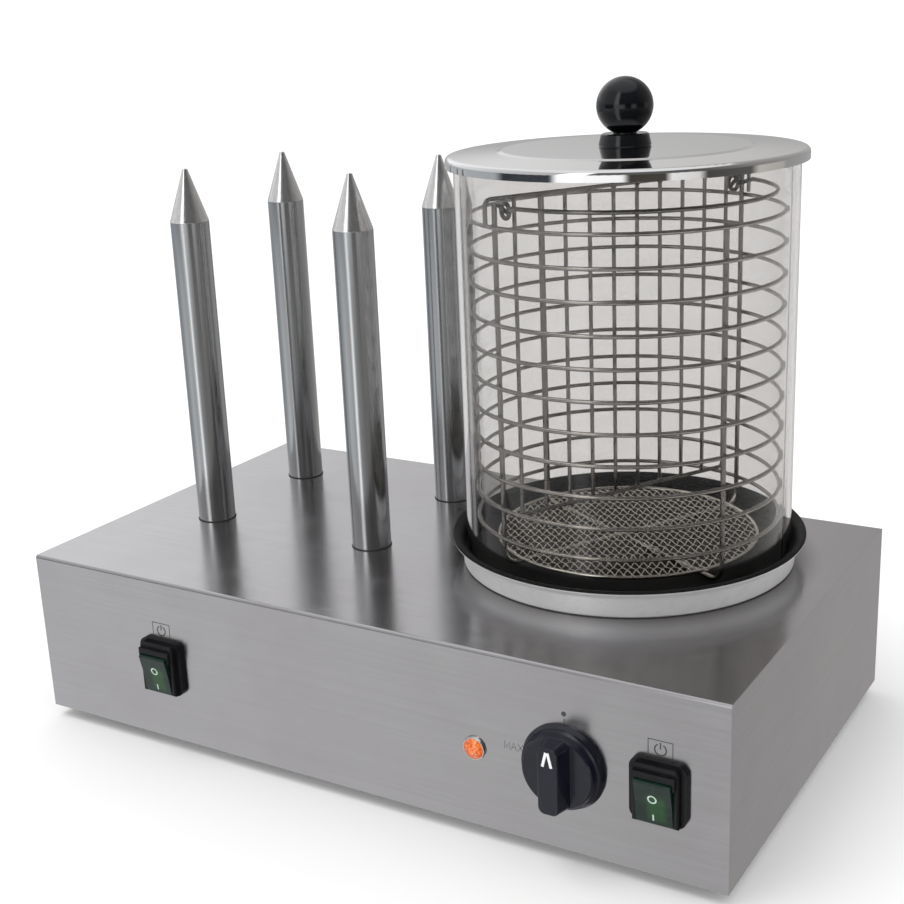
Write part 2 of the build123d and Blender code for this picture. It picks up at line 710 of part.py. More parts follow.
# ---------------- cable gland ----------------

def on_rear(low, high, outline, size):
    """A prism along +Y on the gland's axis, between two distances out of the rear panel."""
    face = Plane(origin=(GLAND_X, REAR_Y + low, GLAND_Z), x_dir=(1, 0, 0), z_dir=(0, 1, 0))
    return extrude(face * outline(size), high - low)


def hexagon(across_flats):
    return RegularPolygon(across_flats / 2, 6, major_radius=False)


def gland_body():
    body = on_rear(0, 6, hexagon, GLAND_FLATS)
    body += on_rear(-14, 0, Circle, GLAND_THREAD_R)
    body += on_rear(6, 12, Circle, GLAND_SPIGOT_R)
    return body - on_rear(-20, 20, Circle, GLAND_BORE)


def gland_dome():
    dome = on_rear(6, GLAND_REACH, Circle, 10)
    rim = dome.faces().sort_by(Axis.Y)[-1].edges()
    dome = fillet(rim, 4)
    dome -= on_rear(0, 12.5, Circle, GLAND_SPIGOT_R + THREAD_GAP)
    return dome - on_rear(0, 30, Circle, GLAND_BORE)


def gland_locknut():
    nut = on_rear(-SHEET - 5, -SHEET, hexagon, GLAND_FLATS)
    return nut - on_rear(-20, 5, Circle, GLAND_THREAD_R + THREAD_GAP)


# ---------------- all nodes ----------------

def all_parts():
    parts = {
        "deck_shell": deck_shell(),
        "side_panel_left": side_panel("left"),
        "side_panel_right": side_panel("right"),
        "base_plate": base_plate(),
        "rubber_feet": [rubber_foot(x, y) for x, y in foot_places()],
        "foot_screws": [screw_up(x, y, 5.0, 8, 3.8, 2.2) for x, y in foot_places()],
        "base_screws": base_screws(),
        "hot_plate": hot_plate(),
        "heating_element": heating_element(),
        "clamp_bar": clamp_bar(),
        "clamp_nut": clamp_nut(),
        "water_pan": water_pan(),
        "glass_cylinder": glass_cylinder(),
        "lid_plate": lid_plate(),
        "lid_collar": lid_collar(),
        "lid_ball": lid_ball(),
        "lid_screw": lid_screw(),
        "basket_rings": basket_rings(),
        "basket_main_upright": upright(PAN_FLOOR + 3 * POST_WIRE + 0.05, MAIN_POST_TOP, 0),
        "basket_cross_upright": upright(PAN_FLOOR + POST_WIRE, CROSS_POST_TOP, 90),
        "basket_mesh": basket_mesh(),
        "basket_mesh_rim": mesh_rim(),
        "handle_pins": handle_pins(),
        "basket_handle": basket_handle(),
        "divider_frame": divider_frame(),
        "divider_bars": divider_bars(),
        "switch_terminals": switch_terminals(),
        "lamp_bezel": lamp_bezel(),
        "lamp_lens": lamp_lens(),
        "dial_ring": dial_ring(),
        "thermostat_knob": thermostat_knob(),
        "knob_pointer": knob_pointer(),
        "thermostat_shaft": thermostat_shaft(),
        "thermostat_body": thermostat_body(),
        "thermostat_screws": thermostat_screws(),
        "thermostat_bulb": thermostat_bulb(),
        "capillary_tube": capillary_tube(),
        "terminal_block": terminal_block(),
        "gland_body": gland_body(),
        "gland_dome": gland_dome(),
        "gland_locknut": gland_locknut(),
    }
    spikes = {f"{row}_{side}": (x, y) for row, y in SPIKE_Y.items() for side, x in SPIKE_X.items()}
    for name, (x, y) in spikes.items():
        parts[f"spike_tube_{name}"] = spike_tube(x, y)
        parts[f"spike_tip_{name}"] = spike_tip(x, y)
        parts[f"spike_heater_{name}"] = spike_heater(x, y)
    parts["spike_seals"] = [spike_seal(x, y) for x, y in spikes.values()]
    parts["spike_nuts"] = [spike_nut(x, y) for x, y in spikes.values()]
    for side, x in SWITCH_X.items():
        parts[f"switch_bezel_{side}"] = switch_bezel(x)
        parts[f"rocker_{side}"] = rocker(x)
    return parts


def write_parts():
    os.makedirs("parts", exist_ok=True)
    for name, shape in all_parts().items():
        if isinstance(shape, list):
            shape = Compound(children=shape)
        export_step(shape, f"parts/{name}.step")


write_parts()
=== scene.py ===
import json
import random
from math import atan, atan2, cos, pi, radians, sin, sqrt

import bmesh
import bpy
from mathutils import Matrix, Vector


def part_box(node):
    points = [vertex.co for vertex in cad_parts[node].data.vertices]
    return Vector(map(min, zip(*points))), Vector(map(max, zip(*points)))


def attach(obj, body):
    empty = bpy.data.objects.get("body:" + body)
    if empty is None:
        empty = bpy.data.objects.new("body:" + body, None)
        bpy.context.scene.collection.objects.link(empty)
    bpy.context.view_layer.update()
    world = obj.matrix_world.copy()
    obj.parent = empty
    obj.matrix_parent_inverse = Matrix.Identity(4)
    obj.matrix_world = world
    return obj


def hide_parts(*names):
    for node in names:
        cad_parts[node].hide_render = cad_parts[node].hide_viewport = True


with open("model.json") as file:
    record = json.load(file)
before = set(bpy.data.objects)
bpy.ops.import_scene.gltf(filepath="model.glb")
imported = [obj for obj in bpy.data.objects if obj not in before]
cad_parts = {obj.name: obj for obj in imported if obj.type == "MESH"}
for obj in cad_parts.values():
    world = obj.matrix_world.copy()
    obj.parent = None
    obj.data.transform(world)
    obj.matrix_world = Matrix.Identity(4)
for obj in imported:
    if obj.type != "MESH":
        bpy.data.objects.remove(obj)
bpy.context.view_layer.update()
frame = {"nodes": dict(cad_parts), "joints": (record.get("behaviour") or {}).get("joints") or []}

MM = 0.001

# ---- places read from the frame ----


def middle(node):
    low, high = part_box(node)
    return (low + high) / 2


TOWER = middle("glass_cylinder")
DECK_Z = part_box("deck_shell")[1].z
PANEL_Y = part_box("deck_shell")[0].y
KNOB = middle("dial_ring")
HINGES = {joint["name"]: Vector(joint["pos_m"]) for joint in frame["joints"] if "pos_m" in joint}
HANDLE_AXIS = next(joint["axis"] for joint in frame["joints"] if joint["name"] == "handle_swing")
BASKET_TURN = atan2(-HANDLE_AXIS[1], -HANDLE_AXIS[0])

# ---- camera ----
CAMERA_PLACE = Vector((0.4591, -0.7478, 0.4499))
CAMERA_YAW = radians(31.53)
CAMERA_PITCH = radians(-17.27)
CAMERA_ROLL = radians(-2.46)
CAMERA_LENS = 57.4
CAMERA_AZIMUTH = CAMERA_YAW - pi / 2


# ================ node trees ================

def make_node(tree, kind, feeds=(), **settings):
    """A shader node with its settings, whose sockets get a constant or another node's output."""
    made = tree.nodes.new("ShaderNode" + kind)
    for key, value in settings.items():
        setattr(made, key, value)
    for socket, source in feeds:
        if isinstance(source, (int, float, tuple)):
            made.inputs[socket].default_value = source
        else:
            tree.links.new(source, made.inputs[socket])
    return made


class Shade:
    """A material with one Principled shader and short calls for the nodes that feed it."""

    def __init__(self, name, **sockets):
        self.material = bpy.data.materials.new(name)
        self.material.use_nodes = True
        self.tree = self.material.node_tree
        self.main = self.tree.nodes["Principled BSDF"]
        for socket, value in sockets.items():
            self.main.inputs[socket.replace("_", " ")].default_value = value

    def node(self, kind, feeds=(), **settings):
        return make_node(self.tree, kind, feeds, **settings)

    def place(self):
        """Place in metres, in the shared frame."""
        return self.node("TexCoord").outputs["Object"]

    def place_from(self, point):
        """Place in metres, measured from a point."""
        feeds = [(0, self.place()), (1, tuple(point))]
        return self.node("VectorMath", feeds, operation="SUBTRACT").outputs[0]

    def height(self):
        """Height over the floor in metres."""
        return self.node("SeparateXYZ", [(0, self.place())]).outputs[2]

    def radius(self):
        """Distance from the tower's vertical axis in metres."""
        split = self.node("SeparateXYZ", [(0, self.place_from((TOWER.x, TOWER.y, 0.0)))])
        squares = [self.maths("MULTIPLY", split.outputs[i], split.outputs[i]) for i in (0, 1)]
        return self.maths("SQRT", self.maths("ADD", squares[0], squares[1]))

    def noise(self, stretch, detail=3.0, rough=0.55):
        """Noise whose stretch is the number of features a metre along each axis."""
        place = self.node("Mapping", [("Vector", self.place()), ("Scale", stretch)]).outputs[0]
        return self.noise_at(place, detail, rough)

    def noise_at(self, place, detail, rough):
        feeds = [("Vector", place), ("Scale", 1.0), ("Detail", detail), ("Roughness", rough)]
        return self.node("TexNoise", feeds).outputs["Fac"]

    def span(self, value, low, high, start=0.0, end=1.0, smooth=False):
        """The value's range from start to end, turned into low to high."""
        kind = "SMOOTHSTEP" if smooth else "LINEAR"
        feeds = [("Value", value), ("From Min", start), ("From Max", end), ("To Min", low), ("To Max", high)]
        return self.node("MapRange", feeds, interpolation_type=kind).outputs[0]

    def soft(self, noise, low=0.0, high=1.0):
        """The middle range of a noise, turned into low to high."""
        return self.span(noise, low, high, 0.3, 0.7)

    def maths(self, operation, first, second=0.0):
        return self.node("Math", [(0, first), (1, second)], operation=operation).outputs[0]

    def blend(self, factor, first, second):
        """From the first colour at 0 to the second at 1."""
        return self.node("Mix", [(0, factor), (6, first), (7, second)], data_type="RGBA").outputs[2]

    def bump(self, height, depth, strength=1.0, below=None):
        feeds = [("Height", height), ("Distance", depth), ("Strength", strength)]
        if below is not None:
            feeds.append(("Normal", below))
        return self.node("Bump", feeds).outputs[0]

    def edges(self, radius, share=1.0):
        """The share along sharp edges, 0 on flats."""
        rounded = self.node("Bevel", [("Radius", radius)], samples=4).outputs[0]
        feeds = [(0, rounded), (1, self.node("NewGeometry").outputs["Normal"])]
        same = self.node("VectorMath", feeds, operation="DOT_PRODUCT").outputs["Value"]
        return self.span(same, share, 0.0, 0.80, 0.995)

    def feed(self, **sources):
        """Links the main shader's sockets, and gives the finished material."""
        for socket, source in sources.items():
            self.tree.links.new(source, self.main.inputs[socket.replace("_", " ")])
        return self.material


def grey(level, warm=0.0):
    """A grey colour, shifted a little from blue to red by warm."""
    return (level * (1 + warm), level, level * (1 - warm), 1.0)


def violet(level, share=1.0):
    """The cold lilac cast of pickled stainless sheet."""
    return (level * (1 + 0.015 * share), level * (1 - 0.025 * share), level * (1 + 0.03 * share), 1.0)


# ================ materials ================

def brushed_sheet(name, along, tone):
    """Satin stainless sheet: grain along one axis, soft clouds, wiping marks, painted shade on the deck
    round the pan.
    """
    painted_shade_from = 98 * MM
    painted_shade_to = 122 * MM
    fine = [2600.0, 2600.0, 2600.0]
    coarse = [420.0, 420.0, 420.0]
    fine[along] = 30.0
    coarse[along] = 5.0
    shade = Shade(name, Metallic=1.0, Anisotropic=0.6, Anisotropic_Rotation=0.25)
    grain = shade.noise(tuple(fine), 4.0, 0.7)
    bands = shade.noise(tuple(coarse), 3.0, 0.6)
    cloud = shade.noise((8.0, 8.0, 8.0), 4.0, 0.6)
    smudge = shade.noise((38.0, 31.0, 34.0), 5.0, 0.65)
    clouds = shade.soft(cloud)
    colour = shade.blend(clouds, violet(tone * 0.95), violet(tone * 1.05, 0.4))
    colour = shade.blend(shade.span(bands, 0, 0.35, 0.35, 0.7), colour, grey(tone * 0.88, 0.02))
    colour = shade.blend(shade.span(grain, 0, 0.22, 0.4, 0.75), colour, grey(tone * 1.2))
    colour = shade.blend(shade.edges(1.0 * MM, 0.3), colour, grey(tone * 0.8))
    # Painted shade: the deck is darkened in a ring round the pan's foot, where its shadow and dark
    # reflection fall.
    near_pan = shade.span(shade.radius(), 0.85, 0.0, painted_shade_from, painted_shade_to, True)
    on_deck = shade.maths("GREATER_THAN", shade.height(), DECK_Z - 1 * MM)
    painted_shade = shade.maths("MULTIPLY", near_pan, on_deck)
    colour = shade.blend(painted_shade, colour, grey(tone * 0.22, 0.04))
    smudges = shade.span(smudge, 0.0, 0.05, 0.5, 0.72)
    rough = shade.maths("ADD", shade.soft(grain, 0.17, 0.23), smudges)
    tangent = shade.node("CombineXYZ", [(along, 1.0)]).outputs[0]
    normal = shade.bump(grain, 0.01 * MM, 0.4)
    return shade.feed(Base_Color=colour, Roughness=rough, Normal=normal, Tangent=tangent)


def drawn_tube():
    """Stainless tube with faint lines along its length, a few specks, and a painted reflection of the deck
    that lightens it towards the foot.
    """
    shade = Shade("drawn_tube", Metallic=1.0)
    lines = shade.noise((1500.0, 1500.0, 4.0), 4.0, 0.65)
    hair = shade.noise((4200.0, 4200.0, 60.0), 2.0, 0.6)
    marks = shade.noise((180.0, 180.0, 70.0), 5.0, 0.7)
    # Painted reflection: the tube is lightened towards its foot, where it mirrors the deck.
    painted_deck_reflection = shade.span(shade.height(), 1.0, 0.0, DECK_Z, DECK_Z + 70 * MM, True)
    colour = shade.blend(shade.span(lines, 0, 1, 0.3, 0.72), grey(0.40, -0.03), grey(0.47, -0.02))
    colour = shade.blend(shade.span(marks, 0, 0.25, 0.62, 0.8), colour, grey(0.40, 0.03))
    colour = shade.blend(shade.maths("MULTIPLY", painted_deck_reflection, 0.4), colour, grey(0.68))
    rough = shade.maths("ADD", shade.soft(lines, 0.15, 0.22), shade.span(hair, 0, 0.05, 0.4, 0.7))
    return shade.feed(Base_Color=colour, Roughness=rough, Normal=shade.bump(lines, 0.01 * MM, 0.35))


def turned_tip():
    """Turned and polished aluminium, with fine tool rings and a few long scuffs."""
    shade = Shade("turned_tip", Metallic=1.0)
    rings = shade.noise((30.0, 30.0, 5200.0), 2.0, 0.6)
    scuffs = shade.noise((700.0, 700.0, 24.0), 4.0, 0.65)
    colour = shade.blend(shade.soft(scuffs), grey(0.70, -0.01), grey(0.86, 0.01))
    colour = shade.blend(shade.span(rings, 0, 0.25, 0.4, 0.7), colour, grey(0.62))
    rough = shade.maths("ADD", shade.soft(rings, 0.15, 0.22), shade.span(scuffs, 0, 0.06, 0.4, 0.7))
    return shade.feed(Base_Color=colour, Roughness=rough, Normal=shade.bump(rings, 0.01 * MM, 0.4))


def pan_finish():
    """Black non-stick coat inside and over the rim, bare aluminium on the outer wall and below.

    The two are told apart by a line through the middle of the wall's thickness, given as
    distance from the tower's axis and height over the pan's foot.
    """
    wall_foot = (100.4 * MM, 7.0 * MM)
    wall_top = (103.5 * MM, 14.7 * MM)
    rim_edge = (108.0 * MM, 17.0 * MM)
    shade = Shade("pan_finish", Specular_IOR_Level=0.03)
    radius = shade.radius()
    above_foot = shade.maths("SUBTRACT", shade.height(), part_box("water_pan")[0].z)
    wall_middle = shade.span(radius, wall_foot[1], wall_top[1], wall_foot[0], wall_top[0])
    rim_middle = shade.span(radius, 0.0, rim_edge[1] - wall_top[1], wall_top[0], rim_edge[0])
    outside = shade.maths("LESS_THAN", above_foot, shade.maths("ADD", wall_middle, rim_middle))
    under = shade.maths("LESS_THAN", above_foot, wall_foot[1])
    bare = shade.maths("MAXIMUM", outside, under)
    cast = shade.noise((160.0, 160.0, 260.0), 6.0, 0.7)
    specks = shade.noise((2400.0, 2400.0, 2400.0), 2.0, 0.5)
    cloud = shade.noise((26.0, 26.0, 40.0), 4.0, 0.6)
    wear = shade.noise((330.0, 330.0, 330.0), 3.0, 0.7)
    metal = shade.blend(shade.soft(cloud), grey(0.86, 0.01), grey(0.95, -0.01))
    metal = shade.blend(shade.span(cast, 0, 0.35, 0.52, 0.74), metal, grey(0.70, 0.02))
    coat = shade.blend(shade.span(specks, 0, 1, 0.35, 0.7), grey(0.006), grey(0.017))
    chips = shade.maths("MULTIPLY", shade.edges(0.8 * MM), shade.span(wear, 0.0, 0.8, 0.66, 0.74))
    coat = shade.blend(chips, coat, grey(0.35))
    metal_rough = shade.soft(cast, 0.36, 0.50)
    coat_rough = shade.soft(cloud, 0.30, 0.42)
    rough = shade.node("Mix", [(0, bare), (2, coat_rough), (3, metal_rough)], data_type="FLOAT").outputs[0]
    normal = shade.bump(cast, 0.08 * MM, 0.35, shade.bump(specks, 0.03 * MM, 0.5))
    return shade.feed(
        Base_Color=shade.blend(bare, coat, metal), Metallic=shade.maths("MULTIPLY", bare, 0.45),
        Roughness=rough, Normal=normal)


def clear_glass():
    """Glass that lets lamp light through, with a faint lime haze low down and wiping marks."""
    shade = Shade("clear_glass", Transmission_Weight=1.0, IOR=1.48, Specular_Tint=(0.35, 0.35, 0.35, 1))
    wipes = shade.noise((20.0, 20.0, 110.0), 5.0, 0.6)
    haze = shade.span(shade.height(), 1.0, 0.0, DECK_Z + 10 * MM, DECK_Z + 70 * MM, True)
    streaks = shade.soft(wipes)
    tint = shade.blend(streaks, (0.715, 0.705, 0.695, 1), (0.745, 0.735, 0.73, 1))
    tint = shade.blend(shade.maths("MULTIPLY", haze, 0.35), tint, (0.69, 0.675, 0.66, 1))
    smears = shade.span(wipes, 0.0, 0.035, 0.62, 0.8)
    rough = shade.maths("ADD", smears, shade.maths("MULTIPLY", haze, 0.015))
    shade.feed(Base_Color=tint, Roughness=rough)
    shadow = shade.node("LightPath").outputs["Is Shadow Ray"]
    clear = shade.node("BsdfTransparent", [("Color", (0.93, 0.925, 0.92, 1))]).outputs[0]
    joined = shade.node("MixShader", [(0, shadow), (1, shade.main.outputs[0]), (2, clear)]).outputs[0]
    shade.tree.links.new(joined, shade.tree.nodes["Material Output"].inputs["Surface"])
    return shade.material


def polished_wire(name="polished_wire", tone=0.22):
    """Electropolished wire, a little browned by heat towards the pan, and lightened by painted light low in
    the pan.
    """
    shade = Shade(name, Metallic=1.0)
    height = shade.height()
    cloud = shade.noise((70.0, 70.0, 70.0), 4.0, 0.6)
    pits = shade.noise((1500.0, 1500.0, 1500.0), 3.0, 0.6)
    heat = shade.span(height, 0.7, 0.05, DECK_Z + 10 * MM, DECK_Z + 120 * MM, True)
    # Painted light: wires low in the pan, the woven floor included, are lightened to a pale beige.
    foot = shade.span(height, 0.8, 0.0, DECK_Z + 18 * MM, DECK_Z + 30 * MM, True)
    browned = shade.maths("MULTIPLY", heat, shade.span(cloud, 0.3, 0.9, 0.35, 0.65))
    clouds = shade.soft(cloud)
    colour = shade.blend(clouds, grey(tone * 0.85, 0.05), grey(tone * 1.15, 0.03))
    colour = shade.blend(browned, colour, (tone * 0.98, tone * 0.88, tone * 0.74, 1))
    colour = shade.blend(foot, colour, (0.88, 0.85, 0.78, 1))
    rough = shade.soft(cloud, 0.05, 0.12)
    return shade.feed(Base_Color=colour, Roughness=rough, Normal=shade.bump(pits, 0.01 * MM, 0.25))


def mirror_lid():
    """Mirror-polished pressing with faint round polishing lines and finger marks."""
    shade = Shade("mirror_lid", Metallic=1.0)
    lines_a_metre = 2200.0
    round_lines = shade.maths("MULTIPLY", shade.radius(), lines_a_metre)
    lines = shade.node("CombineXYZ", [(0, round_lines), (2, shade.height())]).outputs[0]
    polish = shade.noise_at(lines, 3.0, 0.7)
    smudge = shade.noise((28.0, 23.0, 30.0), 5.0, 0.65)
    colour = shade.blend(shade.soft(polish), grey(0.65, 0.008), grey(0.73, -0.004))
    fingers = shade.span(smudge, 0.0, 0.09, 0.52, 0.8)
    rough = shade.maths("ADD", shade.soft(polish, 0.02, 0.055), fingers)
    return shade.feed(Base_Color=colour, Roughness=rough, Normal=shade.bump(polish, 0.01 * MM, 0.25))


def phenolic():
    """Black pressed resin with a faint flow pattern and a soft shine."""
    shade = Shade("phenolic", IOR=1.55, Specular_IOR_Level=0.32)
    flow = shade.noise((60.0, 60.0, 200.0), 5.0, 0.6)
    skin = shade.noise((420.0, 420.0, 420.0), 2.0, 0.5)
    flowing = shade.span(flow, 0, 1, 0.35, 0.7)
    colour = shade.blend(flowing, (0.002, 0.0025, 0.0035, 1), (0.006, 0.007, 0.010, 1))
    colour = shade.blend(shade.edges(0.5 * MM, 0.3), colour, grey(0.03))
    rough = shade.soft(flow, 0.09, 0.17)
    return shade.feed(Base_Color=colour, Roughness=rough, Normal=shade.bump(skin, 0.02 * MM, 0.2))


def moulded(name, dark, light, rough_low, rough_high, spark=1800.0, depth=0.04 * MM, rub=0.07,
            **sockets):
    """Moulded plastic or rubber: fine spark texture, cloudy colour, rubbed edges."""
    shade = Shade(name, **sockets)
    grain = shade.noise((spark, spark, spark), 3.0, 0.6)
    cloud = shade.noise((90.0, 90.0, 90.0), 4.0, 0.6)
    colour = shade.blend(shade.soft(cloud), dark, light)
    rubbed = tuple(min(1.0, channel + rub) for channel in light[:3]) + (1.0,)
    colour = shade.blend(shade.edges(0.6 * MM, 0.5), colour, rubbed)
    clouds = shade.soft(cloud, rough_low, rough_high)
    rough = shade.maths("ADD", clouds, shade.soft(grain, 0, 0.06))
    return shade.feed(Base_Color=colour, Roughness=rough, Normal=shade.bump(grain, depth, 0.5))


def rocker_green(side):
    """Dark green clear plastic: brighter over the lamp inside, with a mottled back seen through it."""
    lamp_right = 1.5 * MM
    lamp_down = 3.0 * MM
    shade = Shade(f"rocker_green_{side}", Coat_Weight=0.2, Coat_Roughness=0.10, Specular_IOR_Level=0.3)
    split = shade.node("SeparateXYZ", [(0, shade.place_from(middle(f"rocker_{side}")))])
    across = shade.maths("ABSOLUTE", shade.maths("SUBTRACT", split.outputs[0], lamp_right))
    up = shade.maths("ABSOLUTE", shade.maths("ADD", split.outputs[2], lamp_down))
    inside = shade.maths("MULTIPLY", shade.span(across, 1, 0, 3.0 * MM, 6.8 * MM, True),
                         shade.span(up, 1, 0, 4.5 * MM, 10.0 * MM, True))
    cells = shade.noise((420.0, 420.0, 420.0), 3.0, 0.7)
    cloud = shade.noise((190.0, 190.0, 190.0), 3.0, 0.6)
    glow = shade.maths("MULTIPLY", inside, shade.span(cells, 0.45, 1.0, 0.3, 0.68))
    clouds = shade.soft(cloud)
    colour = shade.blend(clouds, (0.003, 0.012, 0.009, 1), (0.006, 0.024, 0.015, 1))
    colour = shade.blend(glow, colour, (0.014, 0.070, 0.016, 1))
    rough = shade.soft(cloud, 0.16, 0.28)
    return shade.feed(Base_Color=colour, Roughness=rough, Normal=shade.bump(cells, 0.03 * MM, 0.2))


def amber_lens():
    """Amber lens with moulded prisms, lit a little from inside."""
    prisms_a_metre = 620.0
    shade = Shade("amber_lens", Coat_Weight=1.0, Coat_Roughness=0.04, Emission_Strength=0.35, IOR=1.5)
    feeds = [("Vector", shade.place_from(middle("lamp_lens"))), ("Scale", prisms_a_metre)]
    facets = shade.node("TexVoronoi", feeds, feature="F1").outputs["Distance"]
    cloud = shade.noise((500.0, 500.0, 500.0), 3.0, 0.6)
    colour = shade.blend(shade.span(facets, 0, 1, 0.1, 0.75), (0.86, 0.20, 0.02, 1), (0.42, 0.045, 0.004, 1))
    colour = shade.blend(shade.span(cloud, 0, 0.6, 0.5, 0.75), colour, (0.75, 0.30, 0.06, 1))
    normal = shade.bump(facets, 0.4 * MM, 0.35)
    rough = shade.soft(cloud, 0.08, 0.18)
    return shade.feed(Base_Color=colour, Emission_Color=colour, Roughness=rough, Normal=normal)


def plated(name, dark, light, rough_low=0.16, rough_high=0.34):
    """Plated or bare metal with cloudy tone and faint scratches."""
    shade = Shade(name, Metallic=1.0)
    cloud = shade.noise((140.0, 140.0, 140.0), 5.0, 0.65)
    scratch = shade.noise((160.0, 2600.0, 1900.0), 4.0, 0.7)
    colour = shade.blend(shade.soft(cloud), dark, light)
    colour = shade.blend(shade.edges(0.6 * MM, 0.4), colour, grey(0.85))
    clouds = shade.soft(cloud, rough_low, rough_high)
    rough = shade.maths("ADD", clouds, shade.span(scratch, 0, 0.08, 0.4, 0.7))
    return shade.feed(Base_Color=colour, Roughness=rough, Normal=shade.bump(scratch, 0.03 * MM, 0.4))


def printed(name, dark, light):
    """Screen-printed ink: uneven cover, soft sheen."""
    shade = Shade(name)
    cover = shade.noise((1400.0, 1400.0, 1400.0), 4.0, 0.7)
    colour = shade.blend(shade.span(cover, 0, 1, 0.35, 0.7), dark, light)
    rough = shade.soft(cover, 0.38, 0.6)
    return shade.feed(Base_Color=colour, Roughness=rough, Normal=shade.bump(cover, 0.02 * MM, 0.4))


def floor_finish():
    """Pale matt card."""
    shade = Shade("floor_finish", Roughness=0.9)
    cloud = shade.noise((3.0, 3.0, 3.0), 2.0, 0.5)
    colour = shade.blend(cloud, grey(0.90), grey(0.92))
    return shade.feed(Base_Color=colour)


# ================ meshes ================

INK_T = 0.05 * MM
INK_LINE = 0.45 * MM


def new_piece(name, bm, body, material, smooth=True):
    """An object from mesh code, which rides on a body."""
    bmesh.ops.recalc_face_normals(bm, faces=bm.faces)
    mesh = bpy.data.meshes.new(name)
    bm.to_mesh(mesh)
    bm.free()
    for face in mesh.polygons:
        face.use_smooth = smooth
    piece = bpy.data.objects.new(name, mesh)
    bpy.context.scene.collection.objects.link(piece)
    piece.data.materials.append(material)
    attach(piece, body)
    return piece


def add_tube(bm, points, radius, sides=5):
    """Wire along points, closed at both ends; its sections stay upright."""
    rings = []
    for index, point in enumerate(points):
        ahead = points[min(index + 1, len(points) - 1)] - points[max(index - 1, 0)]
        along = ahead.normalized()
        side = along.cross(Vector((0, 0, 1))).normalized()
        up = side.cross(along)
        ring = []
        for step in range(sides):
            turn = 2 * pi * step / sides
            ring.append(bm.verts.new(point + radius * (cos(turn) * side + sin(turn) * up)))
        rings.append(ring)
    for one, two in zip(rings, rings[1:]):
        for step in range(sides):
            after = (step + 1) % sides
            bm.faces.new((one[step], one[after], two[after], two[step]))
    bm.faces.new(rings[0])
    bm.faces.new(rings[-1])


def woven_floor(material):
    """Wire cloth: two families of crimped wires that pass over and under each other."""
    wire = 0.40 * MM
    pitch = 4.6 * MM
    lift = 0.42 * MM
    steps = 4
    headings = (radians(-38.0), radians(95.0))
    inside_rim = 1.1 * MM
    centre = middle("basket_mesh")
    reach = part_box("basket_mesh_rim")[1].x - centre.x - inside_rim
    crossing = pitch / abs(sin(headings[1] - headings[0]))
    bm = bmesh.new()
    for family, heading in enumerate(headings):
        along = Vector((cos(heading), sin(heading), 0))
        across = Vector((-sin(heading), cos(heading), 0))
        other = headings[1 - family]
        other_across = Vector((-sin(other), cos(other), 0))
        count = int(reach / pitch)
        for number in range(-count, count + 1):
            offset = number * pitch
            half = sqrt(max(reach * reach - offset * offset, 0.0))
            if half < 2 * pitch:
                continue
            segments = max(6, int(2 * half / crossing * steps))
            points = []
            for index in range(segments + 1):
                t = -half + 2 * half * index / segments
                flat = across * offset + along * t
                phase = flat.dot(other_across) / pitch
                sign = 1 if number % 2 == 0 else -1
                points.append(centre + flat + Vector((0, 0, sign * lift * cos(pi * phase))))
            add_tube(bm, points, wire)
    piece = new_piece("woven_floor", bm, "basket", material)
    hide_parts("basket_mesh")
    return piece


def add_nugget(bm, place, turn, radii, wobble):
    """An uneven blob with its own radii, turned about the vertical."""
    spot = Matrix.Translation(place) @ Matrix.Rotation(turn, 4, "Z") @ Matrix.Diagonal((*radii, 1))
    made = bmesh.ops.create_icosphere(bm, subdivisions=2, radius=1.0, matrix=spot)
    for vert in made["verts"]:
        vert.co += (vert.co - place) * random.uniform(-wobble, wobble)


def weld_beads(material):
    """Small resistance-weld nuggets where the rings meet the posts."""
    random.seed(11)
    radii = (1.0 * MM, 1.75 * MM, 1.45 * MM)
    pitch = 18.35 * MM
    ring_wire = 1.25 * MM
    low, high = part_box("basket_rings")
    top = high.z - ring_wire
    reach = (high.x - low.x) / 2 - 2 * ring_wire + 0.1 * MM
    count = round((top - low.z - ring_wire) / pitch) + 1
    bm = bmesh.new()
    for number in range(count):
        for quarter in range(4):
            turn = BASKET_TURN + quarter * pi / 2
            post = (TOWER.x + reach * cos(turn), TOWER.y + reach * sin(turn))
            add_nugget(bm, Vector((*post, top - number * pitch)), turn, radii, 0.10)
    return new_piece("weld_beads", bm, "basket", material)


def divider_beads(material):
    """Weld nuggets where the divider's bars meet its top and foot wires."""
    random.seed(23)
    radii = (1.75 * MM, 1.55 * MM, 0.9 * MM)
    sunk = 0.2 * MM
    bars = 10
    pitch = 17.0 * MM
    low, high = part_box("divider_bars")
    along = Vector((cos(BASKET_TURN), sin(BASKET_TURN), 0))
    bm = bmesh.new()
    for number in range(bars):
        across = (number - (bars - 1) / 2) * pitch
        for z in (low.z + sunk, high.z - sunk):
            add_nugget(bm, Vector((TOWER.x, TOWER.y, z)) + along * across, BASKET_TURN, radii, 0.08)
    return new_piece("divider_beads", bm, "divider", material)


